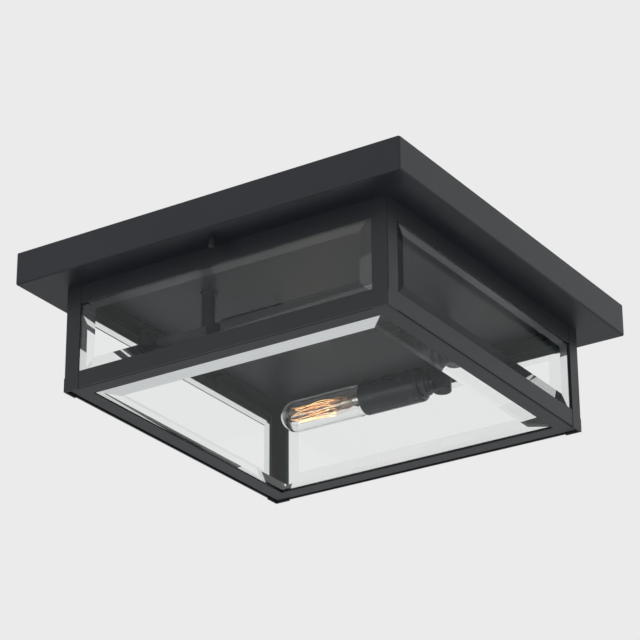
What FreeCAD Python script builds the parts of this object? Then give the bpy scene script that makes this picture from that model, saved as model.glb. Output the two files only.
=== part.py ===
"""Square ceiling lantern for a porch: a folded canopy pan, a glazed cage with a hinged glass door
in its underside, and two level lamps. Millimetres, +Z up. The origin is the centre of the
canopy's rim, in the plane of the ceiling, so the whole lantern lies at or below z = 0.
The front is the -Y side, and the door hinges along the back."""
import FreeCAD, Part
import math
import os

V = FreeCAD.Vector

# canopy pan
CANOPY_WIDTH = 406.4
CANOPY_HEIGHT = 31.5
CANOPY_SHEET = 1.2
CANOPY_BEND = 2.0

# cage: corner posts and rails
CANOPY_OVERHANG = 33.4     # canopy's edge past the posts
POST_LEG = 15.9
POST_SHEET = 1.5
POST_LENGTH = 101.0
SEAM_WIDTH = 1.3
SEAM_DEPTH = 1.1
SEAM_END = 13.1            # plain stretch below the seam
RAIL_INSET = 0.3           # rails stand back from the posts' faces
RAIL_SHEET = 1.5
TOP_RAIL_HEIGHT = 17.3
TOP_FLANGE = 15.0
BOTTOM_RAIL_HEIGHT = 15.9
FOOT_DROP = 1.1            # post feet below the bottom rails
LEDGE_DEPTH = 6.0
LEDGE_SHEET = 1.2
LEDGE_LIP = 3.2
LEDGE_LIP_SHEET = 1.0

# side panes, bevelled on the inner face
SIDE_PANE_LAP = 1.5        # pane's ends behind the posts
SIDE_PANE_HEIGHT = 79.5
SIDE_PANE_TUCK = 4.5       # pane's foot below the top of the bottom rail
SIDE_PANE_THICKNESS = 4.0
SIDE_PANE_BEVEL = 15.9
SIDE_PANE_RIM = 1.7

# clips that hold the panes' upper edges
CLIP_WIDTH = 8.0
CLIP_SHEET = 1.0
CLIP_FOOT = 9.0
CLIP_GRIP = 5.5
CLIP_SPACING = 120.0
CLIP_CLEARANCE = 0.3

# door in the underside
DOOR_GAP = 1.5             # between the door and the bottom rails
DOOR_RECESS = 0.4          # door's underside above the rails' lower edge
DOOR_LEG = 15.9
DOOR_SHEET = 1.6
DOOR_SIDE_HEIGHT = 7.6
DOOR_BEND = 1.5
DOOR_PANE_LAP = 4.8        # pane's edge over the door's rails
DOOR_PANE_THICKNESS = 4.8
DOOR_PANE_BEVEL = 22.2
DOOR_PANE_RIM = 1.93
TAB_WIDTH = 14.0
TAB_SHEET = 1.0
TAB_GRIP = 2.4
TAB_SPACING = 150.0
TAB_CLEARANCE = 0.3
HINGE_INSET = 3.9          # hinge line from the door's back face
HINGE_RISE = 3.4           # hinge line above the door's underside
PIN_RADIUS = 1.5
PIN_RUNNING_FIT = 0.05
PIN_END = 1.5              # pin past the door's side leg
MAGNET_LENGTH = 20.0
MAGNET_WIDTH = 4.0
MAGNET_SPACING = 200.0
MAGNET_GAP = 0.3

# mounting crossbar and its hardware
BAR_INSET = 7.2            # bar's ends from the canopy's faces
BAR_WIDTH = 25.4
BAR_THICKNESS = 2.5
BOX_SCREW_SPACING = 88.9
BOX_SLOT_LENGTH = 14.0
BOX_SLOT_WIDTH = 5.0
STUD_INSET = 19.2          # studs from the canopy's faces
STUD_RADIUS = 1.75
STUD_HOLE_CLEARANCE = 0.3
STUD_ENGAGEMENT = 6.0
LOCK_NUT_FLATS = 6.4
LOCK_NUT_HEIGHT = 2.8
CAP_NUT_RADIUS = 3.0
CAP_NUT_HEIGHT = 9.0
CAP_NUT_ROUND = 0.8
GROUND_Y = 110.0
GROUND_SHANK = 2.0
GROUND_HEAD = 4.5
GROUND_HEAD_HEIGHT = 3.0
GROUND_WIRE_RADIUS = 0.8
GROUND_WIRE_BEND = 4.0
GROUND_WIRE_RUN = 18.0
GROUND_WIRE_DROP = 9.0

# screws between the canopy and the top rails
CAGE_SCREW_SPACING = 180.0
CAGE_SCREW_SHANK = 1.75
CAGE_SCREW_HEAD = 3.6
CAGE_SCREW_HEAD_HEIGHT = 2.2
CAGE_SCREW_TIP = 0.8

# terminal block and leads
BLOCK_SIZE = (18.0, 28.0, 12.0)
LEAD_RADIUS = 0.95
LEAD_SPREAD = (0.8, -1.1, 0.8)
LEAD_BEND = 12.0
LEAD_HUB_BEND = 7.0
LEAD_TAIL = 3.0            # length of a lead's end inside its terminal
LEAD_PORT_CLEARANCE = 0.15

# lamp arm, collar, hub and neck; the lamp's axis is level and its bulb points to -X
LAMP_X = 67.8
LAMP_Y = 91.0
LAMP_DROP = 80.0
ARM_RADIUS = 6.35
ARM_BORE = 3.6
ARM_THREAD_RADIUS = 5.0
ARM_THREAD_TOP = 4.8       # thread above the canopy's floor
ARM_HOLE_CLEARANCE = 0.2
COLLAR_RADIUS = 8.0
COLLAR_HEIGHT = 2.5
COLLAR_ROUND = 1.0
ARM_NUT_FLATS = 15.9
ARM_NUT_HEIGHT = 3.0
HUB_RADIUS = 9.0
HUB_HALF_HEIGHT = 12.7
HUB_ROUND = 1.5
HUB_SOCKET_DEPTH = 6.0
HUB_CAVITY_RADIUS = 5.0
HUB_CAVITY_FLOOR = 4.0
NECK_BORE = 4.0
NECK_RADIUS = 6.0
NECK_TENON = 3.0
RING_1_RADIUS = 12.0
RING_1_LENGTH = 6.0
RING_2_RADIUS = 9.0
RING_2_LENGTH = 2.8
RING_CHAMFER = 0.8

# socket cover, socket and its contacts
COVER_RADIUS = 16.4
COVER_WALL = 1.0
COVER_MOUTH_X = -15.0
COVER_LENGTH = 62.5
COVER_SHOULDER = 3.0
SOCKET_CLEARANCE = 0.1
SOCKET_SETBACK = 5.0       # socket's face behind the cover's mouth
SOCKET_LENGTH = 41.0
SOCKET_BOSS_RADIUS = 9.0
SHELL_SETBACK = 2.0
SHELL_WALL = 0.4
SHELL_LENGTH = 24.0
SHELL_CLEARANCE = 0.3
TONGUE_RADIUS = 4.0
TONGUE_HEIGHT = 1.5

# bulb
BULB_RADIUS = 15.875
BULB_TIP_X = -108.6
BULB_WALL = 0.8
BULB_TAPER_START_X = -23.5
BULB_NECK_X = -17.0
BULB_RIM_RADIUS = 12.6
BASE_RIM_X = -9.0
BASE_WALL = 0.5
BASE_OVERLAP = 3.0         # envelope inside the base
BASE_LENGTH = 19.0
BASE_CONE_LENGTH = 4.0
BASE_END_RADIUS = 5.5
TIP_RADIUS = 4.2
TIP_LENGTH = 1.6
CONTACT_GAP = 0.3
STEM_RADIUS = 2.6
STEM_FOOT_RADIUS = 6.0
STEM_END_X = -42.0
ROD_RADIUS = 1.0
ROD_END_X = -99.0
FILAMENT_NEAR_X = -50.0
FILAMENT_FAR_X = -96.0
FILAMENT_RADIUS = 0.35
FILAMENT_CAGE_RADIUS = 7.5
FILAMENT_STRANDS = 10
SUPPORT_RADIUS = 0.3

# values worked out from the ones above
PAN_FLOOR_Z = -CANOPY_HEIGHT
PAN_INSIDE_Z = PAN_FLOOR_Z + CANOPY_SHEET
CAGE_HALF = CANOPY_WIDTH / 2 - CANOPY_OVERHANG
BAR_LENGTH = CANOPY_WIDTH - 2 * BAR_INSET
POST_FOOT_Z = PAN_FLOOR_Z - POST_LENGTH
POST_INNER = CAGE_HALF - POST_LEG
RAIL_FACE = CAGE_HALF - RAIL_INSET
RAIL_BACK = RAIL_FACE - RAIL_SHEET
RAIL_FOOT_Z = POST_FOOT_Z + FOOT_DROP
BOTTOM_RAIL_TOP_Z = RAIL_FOOT_Z + BOTTOM_RAIL_HEIGHT
SIDE_PANE_WIDTH = 2 * (POST_INNER + SIDE_PANE_LAP)
SIDE_PANE_FOOT_Z = BOTTOM_RAIL_TOP_Z - SIDE_PANE_TUCK
SIDE_PANE_TOP_Z = SIDE_PANE_FOOT_Z + SIDE_PANE_HEIGHT
LEDGE_FOOT_Z = SIDE_PANE_FOOT_Z - LEDGE_SHEET
DOOR_HALF = RAIL_BACK - DOOR_GAP
DOOR_FOOT_Z = RAIL_FOOT_Z + DOOR_RECESS
DOOR_SEAT_Z = DOOR_FOOT_Z + DOOR_SHEET
DOOR_SIDE_TOP_Z = DOOR_FOOT_Z + DOOR_SIDE_HEIGHT
DOOR_PANE_SLOPE = (DOOR_PANE_THICKNESS - DOOR_PANE_RIM) / DOOR_PANE_BEVEL
DOOR_PANE_WIDTH = 2 * (DOOR_HALF - DOOR_LEG + DOOR_PANE_LAP)
DOOR_PANE_DROP = DOOR_PANE_SLOPE * (DOOR_PANE_BEVEL - DOOR_PANE_LAP)
DOOR_PANE_TOP_Z = DOOR_SEAT_Z - DOOR_PANE_DROP + DOOR_PANE_THICKNESS
HINGE_Y = DOOR_HALF - HINGE_INSET
HINGE_Z = DOOR_FOOT_Z + HINGE_RISE
LAMP_Z = -LAMP_DROP
STUD_Y = CANOPY_WIDTH / 2 - STUD_INSET
LEAD_Z = -BAR_THICKNESS - BLOCK_SIZE[2] / 2
COLLAR_FOOT_Z = PAN_FLOOR_Z - COLLAR_HEIGHT
ARM_TOP_Z = PAN_INSIDE_Z + ARM_THREAD_TOP
HUB_TOP_Z = LAMP_Z + HUB_HALF_HEIGHT
ARM_FOOT_Z = HUB_TOP_Z - HUB_SOCKET_DEPTH
COVER_END_X = COVER_MOUTH_X + COVER_LENGTH
RING_1_END_X = COVER_END_X + RING_1_LENGTH
RING_2_END_X = RING_1_END_X + RING_2_LENGTH
NECK_END_X = LAMP_X - HUB_RADIUS + NECK_TENON
SOCKET_FACE_X = COVER_MOUTH_X + SOCKET_SETBACK
SOCKET_BACK_X = SOCKET_FACE_X + SOCKET_LENGTH
BASE_RADIUS = BULB_RIM_RADIUS + BASE_WALL
SHELL_X = SOCKET_FACE_X + SHELL_SETBACK
SHELL_OUTER = BASE_RADIUS + SHELL_CLEARANCE + SHELL_WALL
BASE_END_X = BASE_RIM_X + BASE_LENGTH + BASE_CONE_LENGTH
TIP_END_X = BASE_END_X + TIP_LENGTH
POCKET_END_X = TIP_END_X + CONTACT_GAP + TONGUE_HEIGHT

SIDES = ("front", "right", "back", "left")
CORNERS = ("front_right", "back_right", "back_left", "front_left")
QUARTER = 90.0
HALF_TURN = 180.0
AXIS_Z = V(0, 0, 1)
AXIS_X = V(1, 0, 0)
ORIGIN = V(0, 0, 0)


def save(shape, name):
    """Writes one sub-part, as one solid or a group of them."""
    shape.exportStep("parts/" + name + ".step")


def block(low, high):
    """A box between two corners."""
    return Part.makeBox(high[0] - low[0], high[1] - low[1], high[2] - low[2], V(*low))


def rod(radius, start, end):
    """A round bar from one point to another."""
    run = end - start
    return Part.makeCylinder(radius, run.Length, start, run)


def turned(shape, degrees):
    """A copy turned about the vertical axis."""
    copy = shape.copy()
    copy.rotate(ORIGIN, AXIS_Z, degrees)
    return copy


def pair(shape):
    """A piece and its copy on the opposite side."""
    return Part.makeCompound([shape, turned(shape, HALF_TURN)])


def pair_across(shape):
    """A piece and its mirror image on the other side of the middle."""
    return Part.makeCompound([shape, shape.mirror(ORIGIN, AXIS_X)])


def near(value, target):
    """True when two lengths are the same for modelling purposes."""
    return abs(value - target) < 1e-4


def lathe(points, x_axis_at):
    """A solid turned about a level axis along X; each point is (x, radius)."""
    y, z = x_axis_at
    corners = [V(x, y, z + radius) for x, radius in points]
    outline = Part.makePolygon(corners + [corners[0]])
    return Part.Face(outline).revolve(V(0, y, z), AXIS_X, 360)


def hexagon(flats, height, centre):
    """A hexagonal prism standing on its centre point."""
    radius = flats / math.sqrt(3)
    corners = []
    for k in range(7):
        angle = k * math.pi / 3
        corners.append(V(radius * math.cos(angle), radius * math.sin(angle), 0))
    prism = Part.Face(Part.makePolygon(corners)).extrude(V(0, 0, height))
    prism.translate(centre)
    return prism


def pipe_through(points, bends, radius):
    """A round wire along straight runs joined by tangent arcs."""
    edges = []
    start = points[0]
    for k in range(1, len(points) - 1):
        corner = points[k]
        before = (corner - points[k - 1]).normalize()
        after = (points[k + 1] - corner).normalize()
        half_turn = before.getAngle(after) / 2
        setback = bends[k - 1] * math.tan(half_turn)
        enter = corner - before * setback
        leave = corner + after * setback
        inward = (after - before).normalize()
        centre = corner + inward * (bends[k - 1] / math.cos(half_turn))
        middle = centre - inward * bends[k - 1]
        edges.append(Part.makeLine(start, enter))
        edges.append(Part.Arc(enter, middle, leave).toShape())
        start = leave
    edges.append(Part.makeLine(start, points[-1]))
    path = Part.Wire(edges)
    section = Part.Wire(Part.makeCircle(radius, points[0], points[1] - points[0]))
    return path.makePipeShell([section], True, False)


# ---------------------------------------------------------------- canopy and its mounting

def canopy_pan():
    half = CANOPY_WIDTH / 2
    outside = block((-half, -half, PAN_FLOOR_Z), (half, half, 0))
    folds = [edge for edge in outside.Edges if near(edge.BoundBox.ZMax, PAN_FLOOR_Z)]
    corners = [edge for edge in outside.Edges if edge.BoundBox.ZLength > CANOPY_HEIGHT / 2]
    outside = outside.makeFillet(CANOPY_BEND, folds + corners)
    inner = half - CANOPY_SHEET
    inside = block((-inner, -inner, PAN_INSIDE_Z), (inner, inner, CANOPY_SHEET))
    pan = outside.cut(inside)
    for side in (1, -1):
        stud = V(0, side * STUD_Y, PAN_FLOOR_Z)
        pan = pan.cut(rod(STUD_RADIUS + STUD_HOLE_CLEARANCE, stud, stud + V(0, 0, CANOPY_HEIGHT)))
        arm = V(side * LAMP_X, side * LAMP_Y, PAN_FLOOR_Z)
        pan = pan.cut(rod(ARM_THREAD_RADIUS + ARM_HOLE_CLEARANCE, arm, arm + V(0, 0, CANOPY_HEIGHT)))
    for place in cage_screw_places():
        pan = pan.cut(rod(CAGE_SCREW_SHANK, place, place + V(0, 0, CANOPY_HEIGHT)))
    return pan


def mounting_crossbar():
    bar = block((-BAR_WIDTH / 2, -BAR_LENGTH / 2, -BAR_THICKNESS), (BAR_WIDTH / 2, BAR_LENGTH / 2, 0))
    reach = (BOX_SLOT_LENGTH - BOX_SLOT_WIDTH) / 2
    for side in (1, -1):
        centre = V(0, side * BOX_SCREW_SPACING / 2, -BAR_THICKNESS)
        slot = block((-BOX_SLOT_WIDTH / 2, centre.y - reach, -BAR_THICKNESS),
                     (BOX_SLOT_WIDTH / 2, centre.y + reach, 0))
        for end in (-reach, reach):
            slot = slot.fuse(Part.makeCylinder(BOX_SLOT_WIDTH / 2, BAR_THICKNESS, centre + V(0, end, 0)))
        bar = bar.cut(slot.removeSplitter())
        bar = bar.cut(rod(STUD_RADIUS, V(0, side * STUD_Y, -BAR_THICKNESS), V(0, side * STUD_Y, 0)))
    bar = bar.cut(rod(GROUND_SHANK, V(0, GROUND_Y, -BAR_THICKNESS), V(0, GROUND_Y, 0)))
    return bar


def mounting_stud():
    foot = V(0, STUD_Y, PAN_FLOOR_Z - STUD_ENGAGEMENT)
    return rod(STUD_RADIUS, foot, V(0, STUD_Y, 0))


def stud_lock_nut():
    foot = V(0, STUD_Y, -BAR_THICKNESS - LOCK_NUT_HEIGHT)
    nut = hexagon(LOCK_NUT_FLATS, LOCK_NUT_HEIGHT, foot)
    return nut.cut(rod(STUD_RADIUS, foot, foot + V(0, 0, LOCK_NUT_HEIGHT)))


def cap_nut():
    foot = V(0, STUD_Y, PAN_FLOOR_Z - CAP_NUT_HEIGHT)
    nut = Part.makeCylinder(CAP_NUT_RADIUS, CAP_NUT_HEIGHT, foot)
    nut = nut.makeFillet(CAP_NUT_ROUND, [edge for edge in nut.Edges if near(edge.BoundBox.ZMax, foot.z)])
    return nut.cut(mounting_stud())


def ground_screw():
    head = V(0, GROUND_Y, -BAR_THICKNESS - GROUND_HEAD_HEIGHT)
    shank = rod(GROUND_SHANK, head, V(0, GROUND_Y, 0))
    return hexagon(2 * GROUND_HEAD, GROUND_HEAD_HEIGHT, head).fuse(shank)


def ground_wire():
    """Runs from the crossbar's ground screw to the head of a cage screw."""
    start = V(0, GROUND_Y + GROUND_HEAD, -BAR_THICKNESS - GROUND_WIRE_RADIUS)
    run = V(0, GROUND_WIRE_RUN, 0)
    low = start + run - V(0, 0, GROUND_WIRE_DROP)
    screw = V(CAGE_SCREW_SPACING / 2, cage_screw_line(), PAN_INSIDE_Z + CAGE_SCREW_HEAD_HEIGHT)
    points = [start, start + run, low, V(screw.x, low.y, low.z), V(screw.x, screw.y, low.z), screw]
    return pipe_through(points, [GROUND_WIRE_BEND] * (len(points) - 2), GROUND_WIRE_RADIUS)


def terminal_block():
    x, y, z = BLOCK_SIZE
    body = block((-x / 2, -y / 2, -BAR_THICKNESS - z), (x / 2, y / 2, -BAR_THICKNESS))
    for wire in (1, -1):
        mouth = V(wire * LEAD_SPREAD[0], y / 2, LEAD_Z + wire * LEAD_SPREAD[2])
        port = rod(LEAD_RADIUS + LEAD_PORT_CLEARANCE, mouth - V(0, LEAD_TAIL, 0), mouth)
        body = body.cut(pair(port))
    return body


def lamp_leads():
    leads = []
    start = V(0, BLOCK_SIZE[1] / 2 - LEAD_TAIL, LEAD_Z)
    route = [start, V(0, LAMP_Y, LEAD_Z), V(LAMP_X, LAMP_Y, LEAD_Z), V(LAMP_X, LAMP_Y, LAMP_Z),
             V(SOCKET_BACK_X - 2 * LEAD_TAIL, LAMP_Y, LAMP_Z)]
    for wire in (1, -1):
        shift = V(*LEAD_SPREAD) * wire
        points = [point + shift for point in route]
        points[0].y = start.y
        points[-1].x = route[-1].x
        leads.append(pipe_through(points, [LEAD_BEND, LEAD_BEND, LEAD_HUB_BEND], LEAD_RADIUS))
    return Part.makeCompound(leads)


# ---------------------------------------------------------------- cage

def corner_post():
    """The front right post; the others are turned copies."""
    outer, inner = CAGE_HALF, POST_INNER
    back = CAGE_HALF - POST_SHEET
    post = block((inner, -outer, POST_FOOT_Z), (outer, -back, PAN_FLOOR_Z))
    post = post.fuse(block((back, -outer, POST_FOOT_Z), (outer, -inner, PAN_FLOOR_Z))).removeSplitter()
    seam_foot = POST_FOOT_Z + SEAM_END
    seam = block((-SEAM_DEPTH, -SEAM_WIDTH / 2, seam_foot), (SEAM_DEPTH * 2, SEAM_WIDTH / 2, PAN_FLOOR_Z))
    seam.rotate(ORIGIN, AXIS_Z, -QUARTER / 2)
    seam.translate(V(outer, -outer, 0))
    return post.cut(seam)


def top_rail():
    """The front top rail: a face and a flange under the canopy."""
    foot = PAN_FLOOR_Z - TOP_RAIL_HEIGHT
    face = block((-POST_INNER, -RAIL_FACE, foot), (POST_INNER, -RAIL_BACK, PAN_FLOOR_Z))
    flange = block((-POST_INNER, -RAIL_BACK, PAN_FLOOR_Z - RAIL_SHEET),
                   (POST_INNER, -RAIL_FACE + TOP_FLANGE, PAN_FLOOR_Z))
    rail = face.fuse(flange).removeSplitter()
    for side in (1, -1):
        place = V(side * CAGE_SCREW_SPACING / 2, -cage_screw_line(), PAN_FLOOR_Z)
        rail = rail.cut(rod(CAGE_SCREW_SHANK, place - V(0, 0, RAIL_SHEET), place))
    return rail


def bottom_rail():
    """The front bottom rail: a face with a ledge and lip that carry the side pane."""
    face = block((-POST_INNER, -RAIL_FACE, RAIL_FOOT_Z), (POST_INNER, -RAIL_BACK, BOTTOM_RAIL_TOP_Z))
    ledge_edge = -RAIL_BACK + LEDGE_DEPTH
    ledge = block((-POST_INNER, -RAIL_BACK, LEDGE_FOOT_Z), (POST_INNER, ledge_edge, SIDE_PANE_FOOT_Z))
    lip = block((-POST_INNER, ledge_edge - LEDGE_LIP_SHEET, SIDE_PANE_FOOT_Z),
                (POST_INNER, ledge_edge, SIDE_PANE_FOOT_Z + LEDGE_LIP))
    return face.fuse([ledge, lip]).removeSplitter()


def rectangle(x, y, z):
    """A closed outline about the vertical axis, from its half lengths."""
    corners = [V(-x, -y, z), V(x, -y, z), V(x, y, z), V(-x, y, z)]
    return Part.makePolygon(corners + [corners[0]])


def bevelled_pane(width, height, thickness, bevel, rim):
    """A pane centred on the origin with its flat face at z = 0 and its bevelled face above it."""
    x, y = width / 2, height / 2
    slope = Part.makeLoft([rectangle(x, y, rim), rectangle(x - bevel, y - bevel, thickness)], True, True)
    plate = block((-width / 2, -height / 2, 0), (width / 2, height / 2, rim))
    return plate.fuse(slope).removeSplitter()


def side_pane():
    """The front pane, its flat face against the rails and its bevel inward."""
    pane = bevelled_pane(SIDE_PANE_WIDTH, SIDE_PANE_HEIGHT, SIDE_PANE_THICKNESS, SIDE_PANE_BEVEL,
                         SIDE_PANE_RIM)
    pane.rotate(ORIGIN, AXIS_X, -QUARTER)
    pane.translate(V(0, -RAIL_BACK, (SIDE_PANE_TOP_Z + SIDE_PANE_FOOT_Z) / 2))
    return pane


def side_clips():
    """The two clips that hang from the front top rail's flange behind its pane."""
    clips = []
    top = PAN_FLOOR_Z - RAIL_SHEET
    foot = SIDE_PANE_TOP_Z - CLIP_GRIP
    slope = (SIDE_PANE_THICKNESS - SIDE_PANE_RIM) / SIDE_PANE_BEVEL
    front = -RAIL_BACK + SIDE_PANE_RIM + slope * CLIP_GRIP + CLIP_CLEARANCE
    for side in (1, -1):
        left = side * CLIP_SPACING / 2 - CLIP_WIDTH / 2
        leg = block((left, front, foot), (left + CLIP_WIDTH, front + CLIP_SHEET, top))
        clips.append(leg.fuse(block((left, front, top - CLIP_SHEET),
                                    (left + CLIP_WIDTH, front + CLIP_FOOT, top))).removeSplitter())
    return clips


def cage_screw_line():
    """Distance of the cage screws from the centre line."""
    return RAIL_FACE - TOP_FLANGE / 2


def cage_screw_places():
    places = []
    for quarter in range(len(SIDES)):
        for side in (1, -1):
            angle = math.radians(quarter * QUARTER)
            x, y = side * CAGE_SCREW_SPACING / 2, -cage_screw_line()
            places.append(V(x * math.cos(angle) - y * math.sin(angle),
                            x * math.sin(angle) + y * math.cos(angle), PAN_FLOOR_Z))
    return places


def cage_screws():
    screws = []
    for place in cage_screw_places():
        head = V(place.x, place.y, PAN_INSIDE_Z)
        tip = place - V(0, 0, RAIL_SHEET + CAGE_SCREW_TIP)
        shank = rod(CAGE_SCREW_SHANK, tip, head)
        screws.append(shank.fuse(Part.makeCylinder(CAGE_SCREW_HEAD, CAGE_SCREW_HEAD_HEIGHT, head)))
    return Part.makeCompound(screws)


# ---------------------------------------------------------------- door

def door_rail():
    """The front door rail: an angle mitred at both ends, with tabs bent over the pane's rim."""
    inner = DOOR_HALF - DOOR_LEG
    leg = block((-DOOR_HALF, -DOOR_HALF, DOOR_FOOT_Z), (DOOR_HALF, -inner, DOOR_SEAT_Z))
    side = block((-DOOR_HALF, -DOOR_HALF, DOOR_FOOT_Z),
                 (DOOR_HALF, -DOOR_HALF + DOOR_SHEET, DOOR_SIDE_TOP_Z))
    rail = leg.fuse(side).removeSplitter()
    fold = [edge for edge in rail.Edges if near(edge.BoundBox.YMax, -DOOR_HALF)
            and near(edge.BoundBox.ZMax, DOOR_FOOT_Z) and edge.Length > DOOR_HALF]
    rail = rail.makeFillet(DOOR_BEND, fold)
    return rail.common(mitre_wedge())


def mitre_wedge():
    """The quarter of the plan that belongs to the front rail."""
    reach = DOOR_HALF * 2
    outline = Part.makePolygon([V(0, 0, 0), V(-reach, -reach, 0), V(reach, -reach, 0), V(0, 0, 0)])
    wedge = Part.Face(outline).extrude(V(0, 0, CANOPY_WIDTH))
    wedge.translate(V(0, 0, -CANOPY_WIDTH))
    return wedge


def door_tabs():
    """Two tabs on the front door rail, clear of the pane's edge and rim."""
    edge = -DOOR_PANE_WIDTH / 2
    under = DOOR_PANE_TOP_Z + TAB_CLEARANCE
    back = edge - TAB_CLEARANCE
    tabs = []
    for side in (1, -1):
        left = side * TAB_SPACING / 2 - TAB_WIDTH / 2
        post = block((left, back - TAB_SHEET, DOOR_SEAT_Z), (left + TAB_WIDTH, back, under + TAB_SHEET))
        lip = block((left, back, under), (left + TAB_WIDTH, edge + TAB_GRIP, under + TAB_SHEET))
        tabs.append(post.fuse(lip))
    return tabs


def finished_door_rail(quarter):
    """A door rail turned to its side; the side rails carry the hinge holes."""
    rail = turned(door_rail().fuse(door_tabs()).removeSplitter(), quarter * QUARTER)
    hinge = rod(PIN_RADIUS + PIN_RUNNING_FIT, V(-DOOR_HALF, HINGE_Y, HINGE_Z), V(DOOR_HALF, HINGE_Y, HINGE_Z))
    if SIDES[quarter] in ("left", "right"):
        rail = rail.cut(hinge)
    return rail


def bottom_pane():
    """The door's pane, its bevel downward and resting on the rails' inner edges."""
    pane = bevelled_pane(DOOR_PANE_WIDTH, DOOR_PANE_WIDTH, DOOR_PANE_THICKNESS, DOOR_PANE_BEVEL,
                         DOOR_PANE_RIM)
    pane.rotate(ORIGIN, AXIS_X, HALF_TURN)
    pane.translate(V(0, 0, DOOR_PANE_TOP_Z))
    return pane


def hinge_pins():
    """Two stub pins on the back posts, through the door's side rails."""
    start = CAGE_HALF - POST_SHEET
    end = DOOR_HALF - DOOR_SHEET - PIN_END
    return pair_across(rod(PIN_RADIUS, V(end, HINGE_Y, HINGE_Z), V(start, HINGE_Y, HINGE_Z)))


def catch_magnets():
    """Two magnets under the front ledge, just above the closed door."""
    magnets = []
    y = -RAIL_BACK + LEDGE_DEPTH - MAGNET_WIDTH
    for side in (1, -1):
        left = side * MAGNET_SPACING / 2 - MAGNET_LENGTH / 2
        magnets.append(block((left, y, DOOR_SIDE_TOP_Z + MAGNET_GAP),
                             (left + MAGNET_LENGTH, y + MAGNET_WIDTH, LEDGE_FOOT_Z)))
    return Part.makeCompound(magnets)


# ---------------------------------------------------------------- lamp

def arm_point(z):
    return V(LAMP_X, LAMP_Y, z)


def axis_point(x):
    return V(x, LAMP_Y, LAMP_Z)


def edges_at_x(shape, x):
    return [edge for edge in shape.Edges if near(edge.BoundBox.XMin, x)]


def lamp_arm():
    arm = rod(ARM_RADIUS, arm_point(ARM_FOOT_Z), arm_point(COLLAR_FOOT_Z))
    arm = arm.fuse(rod(ARM_THREAD_RADIUS, arm_point(COLLAR_FOOT_Z), arm_point(ARM_TOP_Z)))
    return arm.cut(rod(ARM_BORE, arm_point(ARM_FOOT_Z), arm_point(ARM_TOP_Z)))


def arm_collar():
    collar = rod(COLLAR_RADIUS, arm_point(COLLAR_FOOT_Z), arm_point(PAN_FLOOR_Z))
    low = [edge for edge in collar.Edges if near(edge.BoundBox.ZMax, COLLAR_FOOT_Z)]
    collar = collar.makeFillet(COLLAR_ROUND, low)
    return collar.cut(rod(ARM_THREAD_RADIUS, arm_point(COLLAR_FOOT_Z), arm_point(PAN_FLOOR_Z)))


def arm_lock_nut():
    nut = hexagon(ARM_NUT_FLATS, ARM_NUT_HEIGHT, arm_point(PAN_INSIDE_Z))
    top = arm_point(PAN_INSIDE_Z + ARM_NUT_HEIGHT)
    return nut.cut(rod(ARM_THREAD_RADIUS, arm_point(PAN_INSIDE_Z), top))


def lamp_hub():
    foot = LAMP_Z - HUB_HALF_HEIGHT
    hub = rod(HUB_RADIUS, arm_point(foot), arm_point(HUB_TOP_Z))
    rims = [edge for edge in hub.Edges if near(edge.BoundBox.ZMax, edge.BoundBox.ZMin)]
    hub = hub.makeFillet(HUB_ROUND, rims)
    hub = hub.cut(rod(ARM_RADIUS, arm_point(ARM_FOOT_Z), arm_point(HUB_TOP_Z)))
    hub = hub.cut(rod(HUB_CAVITY_RADIUS, arm_point(foot + HUB_CAVITY_FLOOR), arm_point(ARM_FOOT_Z)))
    hub = hub.cut(rod(NECK_RADIUS, axis_point(LAMP_X - HUB_RADIUS), axis_point(NECK_END_X)))
    return hub.cut(rod(NECK_BORE, axis_point(NECK_END_X), axis_point(LAMP_X)))


def lamp_neck():
    """Two stepped rings and the neck, on the lamp's axis."""
    outline = [(COVER_END_X, NECK_BORE), (COVER_END_X, RING_1_RADIUS),
               (RING_1_END_X - RING_CHAMFER, RING_1_RADIUS), (RING_1_END_X, RING_1_RADIUS - RING_CHAMFER),
               (RING_1_END_X, RING_2_RADIUS), (RING_2_END_X - RING_CHAMFER, RING_2_RADIUS),
               (RING_2_END_X, RING_2_RADIUS - RING_CHAMFER),
               (RING_2_END_X, NECK_RADIUS), (NECK_END_X, NECK_RADIUS), (NECK_END_X, NECK_BORE)]
    neck = lathe(outline, (LAMP_Y, LAMP_Z))
    spigot_end = COVER_END_X - SOCKET_SETBACK
    spigot = lathe([(spigot_end, NECK_BORE), (spigot_end, ARM_THREAD_RADIUS),
                    (COVER_END_X, ARM_THREAD_RADIUS), (COVER_END_X, NECK_BORE)], (LAMP_Y, LAMP_Z))
    return neck.fuse(spigot).removeSplitter()


def socket_cover():
    cup = rod(COVER_RADIUS, axis_point(COVER_MOUTH_X), axis_point(COVER_END_X))
    cup = cup.makeFillet(COVER_SHOULDER, edges_at_x(cup, COVER_END_X))
    floor_x = COVER_END_X - COVER_WALL
    inside = rod(COVER_RADIUS - COVER_WALL, axis_point(COVER_MOUTH_X), axis_point(floor_x))
    inside = inside.makeFillet(COVER_SHOULDER - COVER_WALL, edges_at_x(inside, floor_x))
    cup = cup.cut(inside)
    return cup.cut(rod(ARM_THREAD_RADIUS, axis_point(COVER_MOUTH_X), axis_point(COVER_END_X)))


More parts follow.
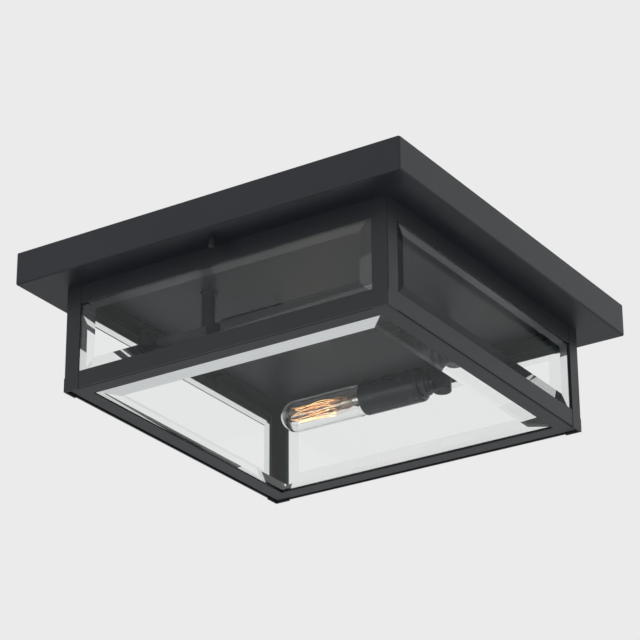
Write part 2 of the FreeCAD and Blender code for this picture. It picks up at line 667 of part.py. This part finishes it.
def socket_body():
    radius = COVER_RADIUS - COVER_WALL - SOCKET_CLEARANCE
    body = rod(radius, axis_point(SOCKET_FACE_X), axis_point(SOCKET_BACK_X))
    boss_end = COVER_END_X - COVER_WALL
    body = body.fuse(rod(SOCKET_BOSS_RADIUS, axis_point(SOCKET_BACK_X), axis_point(boss_end)))
    body = body.cut(rod(SHELL_OUTER, axis_point(SOCKET_FACE_X), axis_point(POCKET_END_X)))
    spigot_end = COVER_END_X - SOCKET_SETBACK
    body = body.cut(rod(ARM_THREAD_RADIUS, axis_point(spigot_end), axis_point(COVER_END_X)))
    body = body.cut(rod(NECK_BORE, axis_point(SOCKET_BACK_X - 2 * LEAD_TAIL), axis_point(spigot_end)))
    return body.removeSplitter()


def screw_shell():
    end = SHELL_X + SHELL_LENGTH
    shell = rod(SHELL_OUTER, axis_point(SHELL_X), axis_point(end))
    return shell.cut(rod(SHELL_OUTER - SHELL_WALL, axis_point(SHELL_X), axis_point(end)))


def socket_contact():
    return rod(TONGUE_RADIUS, axis_point(POCKET_END_X - TONGUE_HEIGHT), axis_point(POCKET_END_X))


# ---------------------------------------------------------------- bulb

def envelope_profile(inset):
    """The envelope's outline from its tip to its end in the base, drawn in by an inset."""
    radius = BULB_RADIUS - inset
    tip = V(BULB_TIP_X + inset, 0, 0)
    dome = BULB_TIP_X + BULB_RADIUS
    middle = V(dome - radius * math.cos(math.pi / 4), 0, radius * math.sin(math.pi / 4))
    shoulder = V(BULB_TAPER_START_X, 0, radius)
    rim = V(BULB_NECK_X, 0, BULB_RIM_RADIUS - inset)
    reach = (rim.x - shoulder.x) / 2
    taper = Part.BezierCurve()
    taper.setPoles([shoulder, shoulder + V(reach, 0, 0), rim - V(reach, 0, 0), rim])
    end = V(BASE_RIM_X + BASE_OVERLAP, 0, rim.z)
    top = V(dome, 0, radius)
    edges = [Part.Arc(tip, middle, top).toShape(), Part.makeLine(top, shoulder), taper.toShape(),
             Part.makeLine(rim, end)]
    return edges, tip, end


def bulb_glass():
    outer, outer_tip, outer_end = envelope_profile(0)
    inner, inner_tip, inner_end = envelope_profile(BULB_WALL)
    outline = Part.Wire(outer + [Part.makeLine(outer_end, inner_end)] + inner[::-1]
                        + [Part.makeLine(inner_tip, outer_tip)])
    glass = Part.Face(outline).revolve(ORIGIN, AXIS_X, 360)
    glass.translate(V(0, LAMP_Y, LAMP_Z))
    return glass


def bulb_base():
    """The screw base and its insulating cone."""
    rim_end = BASE_RIM_X + BASE_LENGTH
    return lathe([(BASE_RIM_X, BULB_RIM_RADIUS), (BASE_RIM_X, BASE_RADIUS), (rim_end, BASE_RADIUS),
                  (BASE_END_X, BASE_END_RADIUS), (BASE_END_X, TIP_RADIUS), (rim_end, BULB_RIM_RADIUS)],
                 (LAMP_Y, LAMP_Z))


def bulb_tip():
    return rod(TIP_RADIUS, axis_point(BASE_END_X), axis_point(TIP_END_X))


def bulb_stem():
    """The inner glass mount: a flare that closes the neck, a tube and a thin rod."""
    flare_x = BASE_RIM_X + BASE_OVERLAP
    inner = BULB_RIM_RADIUS - BULB_WALL
    return lathe([(flare_x, 0), (flare_x, inner), (flare_x - BULB_WALL, inner),
                  (flare_x - inner / 2, STEM_FOOT_RADIUS), (flare_x - inner, STEM_RADIUS),
                  (STEM_END_X, STEM_RADIUS),
                  (STEM_END_X - STEM_RADIUS, ROD_RADIUS), (ROD_END_X, ROD_RADIUS), (ROD_END_X, 0)],
                 (LAMP_Y, LAMP_Z))


def filament():
    """A squirrel cage of straight strands, with the support wires that reach its bends."""
    bends = []
    for k in range(FILAMENT_STRANDS + 1):
        for end in ((FILAMENT_NEAR_X, FILAMENT_FAR_X), (FILAMENT_FAR_X, FILAMENT_NEAR_X))[k % 2]:
            angle = 2 * math.pi * (k + 0.5) / (FILAMENT_STRANDS + 1)
            bends.append(V(end, LAMP_Y + FILAMENT_CAGE_RADIUS * math.cos(angle),
                           LAMP_Z + FILAMENT_CAGE_RADIUS * math.sin(angle)))
    wire = rod(FILAMENT_RADIUS, bends[0], bends[1])
    for k in range(1, len(bends) - 1):
        bend = Part.makeSphere(FILAMENT_RADIUS, bends[k])
        wire = wire.fuse([bend, rod(FILAMENT_RADIUS, bends[k], bends[k + 1])])
    supports = []
    for k in range(1, len(bends) - 1, 2):
        middle = (bends[k] + bends[k + 1]) / 2
        spoke = middle - axis_point(middle.x)
        inner = axis_point(middle.x) + spoke.normalize() * ROD_RADIUS
        supports.append(rod(SUPPORT_RADIUS, inner, middle))
    return wire.fuse(supports)


def make_cage():
    clips = []
    for quarter, side in enumerate(SIDES):
        angle = quarter * QUARTER
        save(turned(corner_post(), angle), "corner_post_" + CORNERS[quarter])
        save(turned(top_rail(), angle), "top_rail_" + side)
        save(turned(bottom_rail(), angle), "bottom_rail_" + side)
        save(turned(side_pane(), angle), "side_glass_" + side)
        save(finished_door_rail(quarter), "door_rail_" + side)
        clips += [turned(clip, angle) for clip in side_clips()]
    save(Part.makeCompound(clips), "glass_clips")
    save(bottom_pane(), "bottom_glass")
    save(hinge_pins(), "door_hinge_pins")
    save(catch_magnets(), "door_catch_magnets")
    save(cage_screws(), "cage_screws")


def make_mounting():
    save(canopy_pan(), "canopy_pan")
    save(mounting_crossbar(), "mounting_crossbar")
    save(pair(mounting_stud()), "mounting_studs")
    save(pair(stud_lock_nut()), "stud_lock_nuts")
    save(pair(cap_nut()), "cap_nuts")
    save(ground_screw(), "ground_screw")
    save(ground_wire(), "ground_wire")
    save(terminal_block(), "terminal_block")
    save(pair(arm_lock_nut()), "arm_lock_nuts")
    save(pair(arm_collar()), "arm_collars")
    save(pair(socket_contact()), "socket_contacts")


def make_lamps():
    makers = {"arm": lamp_arm, "hub": lamp_hub, "neck": lamp_neck, "socket_cover": socket_cover,
              "socket_body": socket_body, "screw_shell": screw_shell, "leads": lamp_leads,
              "bulb_glass": bulb_glass, "bulb_base": bulb_base, "bulb_tip": bulb_tip,
              "bulb_stem": bulb_stem, "bulb_filament": filament}
    for piece, make in makers.items():
        shape = make()
        save(shape, "lamp_1_" + piece)
        save(turned(shape, HALF_TURN), "lamp_2_" + piece)


os.makedirs("parts", exist_ok=True)
make_mounting()
make_cage()
make_lamps()
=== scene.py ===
import math
import bpy
from mathutils import Euler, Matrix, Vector


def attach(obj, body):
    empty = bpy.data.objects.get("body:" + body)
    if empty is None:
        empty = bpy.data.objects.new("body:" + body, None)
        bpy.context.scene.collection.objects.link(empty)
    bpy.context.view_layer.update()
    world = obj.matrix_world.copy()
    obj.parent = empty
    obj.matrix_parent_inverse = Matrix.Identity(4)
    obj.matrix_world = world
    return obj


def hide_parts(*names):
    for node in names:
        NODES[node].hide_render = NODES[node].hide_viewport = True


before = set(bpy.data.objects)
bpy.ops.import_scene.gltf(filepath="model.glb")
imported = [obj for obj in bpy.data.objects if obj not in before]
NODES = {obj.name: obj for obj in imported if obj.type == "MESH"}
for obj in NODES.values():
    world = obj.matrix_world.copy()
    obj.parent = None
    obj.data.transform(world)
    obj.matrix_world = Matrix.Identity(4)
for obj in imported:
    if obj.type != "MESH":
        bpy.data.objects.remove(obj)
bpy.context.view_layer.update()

MM = 0.001

# camera, solved from the lantern's corners
CAMERA_PLACE = (1.1998, -1.8687, -1.0534)
CAMERA_ANGLES = (114.525, 0.322, 33.012)
CAMERA_LENS = 149.06
CAMERA_SENSOR = 36.0
CAMERA_NEAR = 0.05
CAMERA_FAR = 100.0

# surroundings
BACKGROUND = 0.83
DAYLIGHT = 0.62
FLOOR_DROP = 6.0
FLOOR_REACH = 40.0

LIGHT_TARGET = (0.0, 0.0, -0.08)
LIGHT_SIZE = 1.6
SIDE_LIGHT_PLACE = (2.2, -0.8, -0.6)
SIDE_LIGHT_POWER = 8.0
FRONT_LIGHT_PLACE = (-0.8, -2.6, -1.0)
FRONT_LIGHT_POWER = 10.0

# glass: a face of a pane is told from a bevel and a cut edge by its normal's share along the pane's axis
GLASS_INDEX = 1.52
BEVEL_FACING = 0.997
EDGE_FACING = 0.5
SLOPED_LEAST = 0.03
SHEEN_RISE = (0.3, 0.46)
SHEEN_FALL = (0.58, 0.64)

# rounds on folded and turned edges
RAIL_ROUND = 0.35 * MM
DOOR_ROUND = 0.3 * MM
POST_ROUND = 0.4 * MM
LAMP_ROUND = 0.4 * MM
COLLAR_ROUND = 0.3 * MM
ROUND_SEGMENTS = 2
ROUND_LEAST_ANGLE = 35

# the bulbs' wires, on lamp 1's axis; lamp 2 is the same turned half a turn
LAMP_Y = 91.0 * MM
LAMP_Z = -80.0 * MM
FILAMENT_NEAR_X = -50.0 * MM
FILAMENT_FAR_X = -96.0 * MM
FILAMENT_CAGE_RADIUS = 8.6 * MM
STEM_TIP_X = -32.0 * MM
HAIRPINS = 9
HAIRPIN_STEPS = 60
LOOP_RADIUS = 0.22 * MM
LOOP_END_SPREAD = 3.0 * MM
LOOP_INSET = 1.2 * MM
LOOP_SWAY = 0.9 * MM
LOOP_TURN = 1.1
SUPPORTS = 18
SUPPORT_STEPS = 16
SUPPORT_RADIUS = 0.2 * MM
SUPPORT_ROOT_RADIUS = 1.2 * MM
SUPPORT_INSET = 1.5 * MM
SUPPORT_SWAY = 0.5 * MM
SUPPORT_FLARE = 0.35

SIDES = ("front", "right", "back", "left")
CORNERS = ("front_right", "back_right", "back_left", "front_left")


# ---------------------------------------------------------------- node helpers

class Shader:
    """A material's node tree, with short calls for the nodes used here."""

    def __init__(self, name):
        self.material = bpy.data.materials.new(name)
        self.material.use_nodes = True
        self.tree = self.material.node_tree
        self.tree.nodes.clear()
        self.output = self.tree.nodes.new("ShaderNodeOutputMaterial")

    def node(self, kind, **values):
        made = self.tree.nodes.new("ShaderNode" + kind)
        for key, value in values.items():
            if hasattr(made, key):
                setattr(made, key, value)
            else:
                made.inputs[key.replace("_", " ")].default_value = value
        return made

    def link(self, source, target):
        self.tree.links.new(source, target)

    def principled(self, **values):
        made = self.node("BsdfPrincipled", **values)
        self.link(made.outputs["BSDF"], self.output.inputs["Surface"])
        return made

    def coordinates(self):
        return self.node("TexCoord").outputs["Object"]

    def noise(self, scale, detail=2.0, roughness=0.5):
        made = self.node("TexNoise", Scale=scale, Detail=detail, Roughness=roughness)
        self.link(self.coordinates(), made.inputs["Vector"])
        return made.outputs["Fac"]

    def ramp(self, source, low, high, start=0.3, end=0.7):
        """Spreads a grey source between two colours."""
        made = self.node("ValToRGB")
        made.color_ramp.elements[0].position = start
        made.color_ramp.elements[0].color = low
        made.color_ramp.elements[1].position = end
        made.color_ramp.elements[1].color = high
        self.link(source, made.inputs["Fac"])
        return made.outputs["Color"]

    def spread(self, source, low, high):
        """Maps a 0 to 1 source to a range of plain numbers."""
        made = self.node("MapRange")
        made.inputs["To Min"].default_value = low
        made.inputs["To Max"].default_value = high
        self.link(source, made.inputs["Value"])
        return made.outputs["Result"]

    def fade(self, source, start, end):
        """A smooth rise from 0 at start to 1 at end."""
        made = self.node("MapRange", interpolation_type="SMOOTHSTEP")
        made.inputs["From Min"].default_value = start
        made.inputs["From Max"].default_value = end
        self.link(source, made.inputs["Value"])
        return made.outputs["Result"]

    def math(self, operation, first, second=0.0):
        made = self.node("Math", operation=operation)
        for slot, value in enumerate((first, second)):
            if isinstance(value, float):
                made.inputs[slot].default_value = value
            else:
                self.link(value, made.inputs[slot])
        return made.outputs[0]

    def mix(self, share, first, second):
        """Blends two shaders."""
        made = self.node("MixShader")
        self.link(share, made.inputs["Fac"])
        self.link(first, made.inputs[1])
        self.link(second, made.inputs[2])
        return made.outputs["Shader"]

    def bump(self, source, distance, strength=1.0):
        made = self.node("Bump", Distance=distance, Strength=strength)
        self.link(source, made.inputs["Height"])
        return made.outputs["Normal"]


def grey(value):
    return (value, value, value, 1.0)


# ---------------------------------------------------------------- materials

def powder_coat(name, low, high, roughness, specular=0.36):
    """Black satin powder coat: a fine orange-peel bump and slight clouding."""
    shader = Shader(name)
    surface = shader.principled(Specular_IOR_Level=specular)
    shader.link(shader.ramp(shader.noise(9.0, 3.0), low, high), surface.inputs["Base Color"])
    shader.link(shader.spread(shader.noise(60.0, 3.0), roughness - 0.03, roughness + 0.03),
                surface.inputs["Roughness"])
    shader.link(shader.bump(shader.noise(2400.0, 1.0), 0.000004), surface.inputs["Normal"])
    return shader.material


def worn_and_highlit_edge():
    """The coat where it thins over folds and cut edges, lighter there: partly wear, partly a painted
    highlight along the edges.
    """
    shader = Shader("worn_and_highlit_edge")
    surface = shader.principled(Metallic=0.0)
    shader.link(shader.ramp(shader.noise(220.0, 3.0), (0.055, 0.06, 0.064, 1.0), (0.12, 0.125, 0.13, 1.0)),
                surface.inputs["Base Color"])
    shader.link(shader.spread(shader.noise(300.0), 0.3, 0.45), surface.inputs["Roughness"])
    return shader.material


def clear_glass(shader, share):
    """Refraction with a share of it turned to a mirror, and a straight way through for light."""
    through = shader.node("BsdfRefraction", IOR=GLASS_INDEX, Roughness=0.0, Color=grey(1.0))
    gloss = shader.node("BsdfGlossy", Roughness=0.0, Color=grey(1.0))
    clear = shader.mix(share, through.outputs["BSDF"], gloss.outputs["BSDF"])
    straight = shader.node("BsdfTransparent", Color=(0.94, 0.96, 0.95, 1.0))
    path = shader.node("LightPath")
    either = shader.math("MAXIMUM", path.outputs["Is Shadow Ray"], path.outputs["Is Diffuse Ray"])
    return shader.mix(either, clear, straight.outputs["BSDF"])


def plate_glass(name, axis, mirror, bevel_mirror, bevel_painted_sheen=0.0, sheen=0.0):
    """Clear bevelled plate. Its faces mirror a share of what plain glass would, the bevels more, with a
    grey diffuse layer on the bevels as a painted sheen; its front and back bevels may mirror slanting
    views nearly fully. Its seamed edges are green, and so is a long way through it."""
    shader = Shader(name)
    normal = shader.node("SeparateXYZ")
    shader.link(shader.node("TexCoord").outputs["Normal"], normal.inputs["Vector"])
    facing = shader.math("ABSOLUTE", normal.outputs[axis])
    bevelled = shader.math("LESS_THAN", facing, BEVEL_FACING)
    edge = shader.math("LESS_THAN", facing, EDGE_FACING)
    fresnel = shader.node("Fresnel", IOR=GLASS_INDEX)
    level = shader.spread(bevelled, mirror, bevel_mirror)
    clear = clear_glass(shader, shader.math("MULTIPLY", fresnel.outputs["Fac"], level))
    # a grey diffuse layer on the bevels: a painted sheen that lightens them
    painted_sheen = shader.node("BsdfDiffuse", Color=(0.16, 0.19, 0.195, 1.0))
    clear = shader.mix(shader.math("MULTIPLY", bevelled, bevel_painted_sheen), clear, painted_sheen.outputs["BSDF"])
    sloped = shader.math("GREATER_THAN", shader.math("ABSOLUTE", normal.outputs["Y"]), SLOPED_LEAST)
    slant = shader.node("LayerWeight").outputs["Facing"]
    slanted = shader.math("SUBTRACT", shader.fade(slant, *SHEEN_RISE), shader.fade(slant, *SHEEN_FALL))
    share = shader.math("MULTIPLY", shader.math("MULTIPLY", sloped, slanted), sheen)
    polish = shader.node("BsdfGlossy", Roughness=0.02, Color=(0.96, 0.99, 1.0, 1.0))
    clear = shader.mix(share, clear, polish.outputs["BSDF"])
    seamed = shader.node("BsdfDiffuse")
    shader.link(shader.ramp(shader.noise(300.0, 3.0), (0.02, 0.16, 0.13, 1.0), (0.05, 0.30, 0.25, 1.0)),
                seamed.inputs["Color"])
    shader.link(shader.mix(edge, clear, seamed.outputs["BSDF"]), shader.output.inputs["Surface"])
    inside = shader.node("VolumeAbsorption", Color=(0.45, 0.85, 0.74, 1.0), Density=6.0)
    shader.link(inside.outputs["Volume"], shader.output.inputs["Volume"])
    return shader.material


def blown_glass(name, mirror):
    """Thin clear glass with faint drawn streaks."""
    shader = Shader(name)
    fresnel = shader.node("Fresnel", IOR=GLASS_INDEX)
    level = shader.spread(shader.noise(160.0, 3.0), mirror * 0.9, mirror * 1.1)
    clear = clear_glass(shader, shader.math("MULTIPLY", fresnel.outputs["Fac"], level))
    shader.link(clear, shader.output.inputs["Surface"])
    return shader.material


def metal(name, low, high, roughness, scale):
    """A bare or plated metal with fine streaks of tone."""
    shader = Shader(name)
    surface = shader.principled(Metallic=1.0)
    shader.link(shader.ramp(shader.noise(scale, 4.0), low, high), surface.inputs["Base Color"])
    shader.link(shader.spread(shader.noise(scale * 3), roughness - 0.08, roughness + 0.08),
                surface.inputs["Roughness"])
    shader.link(shader.bump(shader.noise(scale * 6), 0.00002), surface.inputs["Normal"])
    return shader.material


def plastic(name, low, high, roughness):
    shader = Shader(name)
    surface = shader.principled()
    shader.link(shader.ramp(shader.noise(60.0, 3.0), low, high), surface.inputs["Base Color"])
    shader.link(shader.spread(shader.noise(400.0), roughness - 0.06, roughness + 0.06),
                surface.inputs["Roughness"])
    shader.link(shader.bump(shader.noise(900.0), 0.00002), surface.inputs["Normal"])
    return shader.material


def glowing_wire():
    """Carbon filament, a warm glow that varies along it."""
    shader = Shader("glowing_wire")
    surface = shader.principled(Roughness=0.4)
    surface.inputs["Base Color"].default_value = (0.55, 0.3, 0.15, 1.0)
    glow = shader.ramp(shader.noise(70.0), (0.62, 0.22, 0.07, 1.0), (1.0, 0.70, 0.34, 1.0), 0.38, 0.62)
    shader.link(glow, surface.inputs["Emission Color"])
    surface.inputs["Emission Strength"].default_value = 2.1
    return shader.material


# ---------------------------------------------------------------- dressing the CAD nodes

def soften(obj, width, edge_slot=None):
    """Rounds a node's sharp edges by a real width, the rounds in their own material if asked."""
    bevel = obj.modifiers.new("edge_round", "BEVEL")
    bevel.width = width
    bevel.segments = ROUND_SEGMENTS
    bevel.limit_method = "ANGLE"
    bevel.angle_limit = math.radians(ROUND_LEAST_ANGLE)
    if edge_slot is not None:
        bevel.material = edge_slot


def dress(name, material, edge=None, width=0.0):
    """Gives a CAD node its material and, if asked, rounded edges in a second one."""
    obj = NODES[name]
    obj.data.materials.clear()
    obj.data.materials.append(material)
    if edge:
        obj.data.materials.append(edge)
    if width:
        soften(obj, width, 1 if edge else None)


def dress_all():
    coat = powder_coat("black_coat", (0.0135, 0.0165, 0.0205, 1.0), (0.018, 0.021, 0.0255, 1.0), 0.42)
    # the canopy pan's coat is a darker, bluer copy of the cage's coat: painted shade on the pan
    pan_coat_shaded = powder_coat("black_coat_pan_shaded", (0.012, 0.015, 0.020, 1.0), (0.016, 0.019, 0.025, 1.0),
                           0.42, 0.33)
    satin = powder_coat("black_satin", (0.009, 0.013, 0.020, 1.0), (0.012, 0.017, 0.025, 1.0), 0.27, 0.33)
    # the rounded edges get a lighter coat: partly wear, partly a painted highlight
    edge = worn_and_highlit_edge()
    panes = [plate_glass("bevelled_glass_X", "X", 0.15, 0.7, bevel_painted_sheen=0.12),
             plate_glass("bevelled_glass_Y", "Y", 0.3, 0.7, bevel_painted_sheen=0.08),
             plate_glass("bevelled_glass_Z", "Z", 0.2, 0.7, sheen=0.98)]
    bulb = blown_glass("bulb_glass", 0.8)
    zinc = metal("zinc_plate", (0.5, 0.51, 0.53, 1.0), (0.66, 0.67, 0.68, 1.0), 0.35, 90.0)
    brass = metal("nickelled_brass", (0.6, 0.53, 0.38, 1.0), (0.74, 0.67, 0.5, 1.0), 0.28, 120.0)
    copper = metal("bare_copper", (0.6, 0.3, 0.18, 1.0), (0.75, 0.4, 0.25, 1.0), 0.3, 200.0)
    phenolic = plastic("black_phenolic", (0.012, 0.012, 0.012, 1.0), (0.022, 0.022, 0.022, 1.0), 0.45)
    nylon = plastic("white_nylon", (0.7, 0.7, 0.67, 1.0), (0.78, 0.78, 0.75, 1.0), 0.5)
    insulation = plastic("wire_insulation", (0.02, 0.02, 0.02, 1.0), (0.03, 0.03, 0.03, 1.0), 0.4)
    green = plastic("green_plate", (0.03, 0.2, 0.07, 1.0), (0.05, 0.28, 0.1, 1.0), 0.35)
    dress("canopy_pan", pan_coat_shaded)
    for number, side in enumerate(SIDES):
        dress("top_rail_" + side, coat, edge, RAIL_ROUND)
        dress("bottom_rail_" + side, coat, edge, RAIL_ROUND)
        dress("door_rail_" + side, coat, edge, DOOR_ROUND)
        dress("side_glass_" + side, panes[1 - number % 2])
    for corner in CORNERS:
        dress("corner_post_" + corner, coat, edge, POST_ROUND)
    dress("bottom_glass", panes[2])
    for name in ("mounting_crossbar", "mounting_studs", "stud_lock_nuts", "arm_lock_nuts",
                 "door_hinge_pins", "door_catch_magnets"):
        dress(name, zinc)
    for name in ("cap_nuts", "glass_clips", "cage_screws"):
        dress(name, coat)
    dress("arm_collars", satin, edge, COLLAR_ROUND)
    dress("ground_screw", green)
    dress("ground_wire", copper)
    dress("terminal_block", nylon)
    dress("socket_contacts", brass)
    for lamp in ("lamp_1_", "lamp_2_"):
        dress(lamp + "arm", coat)
        for part in ("hub", "neck", "socket_cover"):
            dress(lamp + part, satin, edge, LAMP_ROUND)
        dress(lamp + "socket_body", phenolic)
        dress(lamp + "screw_shell", brass)
        dress(lamp + "leads", insulation)
        dress(lamp + "bulb_base", brass)
        dress(lamp + "bulb_tip", zinc)
        dress(lamp + "bulb_glass", bulb)
        dress(lamp + "bulb_stem", bulb)


# ---------------------------------------------------------------- the bulbs' wires

def tube(points, radius, sides=6):
    """Corners and faces of a thin round wire through the points."""
    corners, faces = [], []
    for step, point in enumerate(points):
        ahead = points[min(step + 1, len(points) - 1)] - points[max(step - 1, 0)]
        if step == 0:
            across = ahead.orthogonal().normalized()
        else:
            across = (across - across.project(ahead)).normalized()
        upward = ahead.normalized().cross(across)
        for side in range(sides):
            angle = 2 * math.pi * side / sides
            corners.append(point + radius * (across * math.cos(angle) + upward * math.sin(angle)))
    for step in range(len(points) - 1):
        for side in range(sides):
            first, second = step * sides + side, step * sides + (side + 1) % sides
            faces.append((first, second, second + sides, first + sides))
    faces.append(tuple(reversed(range(sides))))
    faces.append(tuple(range(len(corners) - sides, len(corners))))
    return corners, faces


def wire_piece(name, paths, radius, material, body, turn):
    """One mesh of several wires, placed on a lamp's axis and moving with its bulb."""
    corners, faces = [], []
    for path in paths:
        points = [Vector((turn * point.x, turn * (LAMP_Y + point.y), LAMP_Z + point.z)) for point in path]
        ring, skin = tube(points, radius)
        faces += [tuple(index + len(corners) for index in face) for face in skin]
        corners += ring
    mesh = bpy.data.meshes.new(name)
    mesh.from_pydata(corners, [], faces)
    mesh.materials.append(material)
    for face in mesh.polygons:
        face.use_smooth = True
    wires = bpy.data.objects.new(name, mesh)
    bpy.context.collection.objects.link(wires)
    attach(wires, body)
    return wires


def around_axis(x, radius, angle):
    """A point by its place along a bulb's axis, its distance from it and its angle round it."""
    return Vector((x, radius * math.cos(angle), radius * math.sin(angle)))


# the plain numbers in the sines below only make each wire sway unlike the next

def hairpin(number):
    """One long loop of filament: out to the tip and back, never quite straight."""
    start = 2 * math.pi * number / HAIRPINS
    far = FILAMENT_FAR_X + LOOP_END_SPREAD * (1 + math.sin(2.3 * number))
    near = FILAMENT_NEAR_X - LOOP_END_SPREAD * math.cos(1.7 * number)
    path = []
    for step in range(HAIRPIN_STEPS + 1):
        along = step / HAIRPIN_STEPS
        x = near + (far - near) * (1 - math.cos(2 * math.pi * along)) / 2
        sway = math.sin(9.0 * along + 2.1 * number) + 0.5 * math.sin(23.0 * along + number)
        radius = FILAMENT_CAGE_RADIUS - LOOP_INSET + LOOP_SWAY * sway
        angle = start + LOOP_TURN * along + 0.14 * math.sin(17.0 * along + 3.0 * number)
        path.append(around_axis(x, radius, angle))
    return path


def support(number):
    """A bent wire from the stem to a loop of the filament."""
    angle = 2 * math.pi * (number + 0.3) / SUPPORTS
    reach = FILAMENT_FAR_X if number % 2 == 0 else FILAMENT_NEAR_X
    path = []
    for step in range(SUPPORT_STEPS + 1):
        along = step / SUPPORT_STEPS
        x = STEM_TIP_X + (reach - STEM_TIP_X) * along
        radius = SUPPORT_ROOT_RADIUS + (FILAMENT_CAGE_RADIUS - SUPPORT_INSET) * along ** SUPPORT_FLARE
        radius += SUPPORT_SWAY * math.sin(13.0 * along + number)
        path.append(around_axis(x, radius, angle + 0.35 * math.sin(7.0 * along + 2.0 * number)))
    return path


def make_filaments():
    wire = glowing_wire()
    # the supports are real wires; their brown tone is partly a painted reflection of the glowing loops
    bare = metal("support_wire_glow_tinted", (0.50, 0.30, 0.18, 1.0), (0.85, 0.68, 0.52, 1.0), 0.3, 260.0)
    for number, turn in ((1, 1), (2, -1)):
        lamp, body = "lamp_%d_" % number, "bulb_%d" % number
        loops = wire_piece(lamp + "filament_loops", [hairpin(k) for k in range(HAIRPINS)],
                           LOOP_RADIUS, wire, body, turn)
        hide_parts(lamp + "bulb_filament")
        holders = wire_piece(lamp + "filament_supports", [support(k) for k in range(SUPPORTS)],
                             SUPPORT_RADIUS, bare, body, turn)


# ---------------------------------------------------------------- floor, lights, camera

def make_world():
    """A pale room: a plain background to the camera, gloss and glass, and soft daylight for the rest."""
    world = bpy.data.worlds.new("room")
    bpy.context.scene.world = world
    world.use_nodes = True
    tree = world.node_tree
    tree.nodes.clear()
    output = tree.nodes.new("ShaderNodeOutputWorld")
    background = tree.nodes.new("ShaderNodeBackground")
    background.inputs["Color"].default_value = grey(1.0)
    path = tree.nodes.new("ShaderNodeLightPath")
    seen = None
    for ray in ("Is Camera Ray", "Is Glossy Ray", "Is Transmission Ray"):
        if seen is None:
            seen = path.outputs[ray]
        else:
            either = tree.nodes.new("ShaderNodeMath")
            either.operation = "MAXIMUM"
            tree.links.new(seen, either.inputs[0])
            tree.links.new(path.outputs[ray], either.inputs[1])
            seen = either.outputs[0]
    level = tree.nodes.new("ShaderNodeMapRange")
    level.inputs["To Min"].default_value = DAYLIGHT
    level.inputs["To Max"].default_value = BACKGROUND
    tree.links.new(seen, level.inputs["Value"])
    tree.links.new(level.outputs["Result"], background.inputs["Strength"])
    tree.links.new(background.outputs["Background"], output.inputs["Surface"])


def make_floor():
    mesh = bpy.data.meshes.new("floor")
    reach = FLOOR_REACH
    corners = [(-reach, -reach, -FLOOR_DROP), (reach, -reach, -FLOOR_DROP), (reach, reach, -FLOOR_DROP),
               (-reach, reach, -FLOOR_DROP)]
    mesh.from_pydata(corners, [], [(0, 1, 2, 3)])
    floor = bpy.data.objects.new("floor", mesh)
    bpy.context.collection.objects.link(floor)
    shader = Shader("floor_pale")
    surface = shader.principled(Roughness=0.8)
    shader.link(shader.ramp(shader.noise(0.8), grey(0.90), grey(0.93)), surface.inputs["Base Color"])
    mesh.materials.append(shader.material)


def make_light(name, place, power):
    light = bpy.data.lights.new(name, "AREA")
    light.size = LIGHT_SIZE
    light.energy = power
    lamp = bpy.data.objects.new(name, light)
    bpy.context.collection.objects.link(lamp)
    lamp.location = place
    lamp.rotation_mode = "QUATERNION"
    lamp.rotation_quaternion = (Vector(LIGHT_TARGET) - Vector(place)).to_track_quat("-Z", "Y")


def make_camera():
    data = bpy.data.cameras.new("camera")
    data.lens = CAMERA_LENS
    data.sensor_width = CAMERA_SENSOR
    data.clip_start = CAMERA_NEAR
    data.clip_end = CAMERA_FAR
    camera = bpy.data.objects.new("camera", data)
    bpy.context.collection.objects.link(camera)
    camera.location = CAMERA_PLACE
    camera.rotation_euler = Euler([math.radians(angle) for angle in CAMERA_ANGLES], "XYZ")
    bpy.context.scene.camera = camera


make_camera()
make_world()
make_floor()
make_light("side_light", SIDE_LIGHT_PLACE, SIDE_LIGHT_POWER)
make_light("front_light", FRONT_LIGHT_PLACE, FRONT_LIGHT_POWER)
dress_all()
make_filaments()
bpy.context.scene.view_settings.view_transform = "Standard"
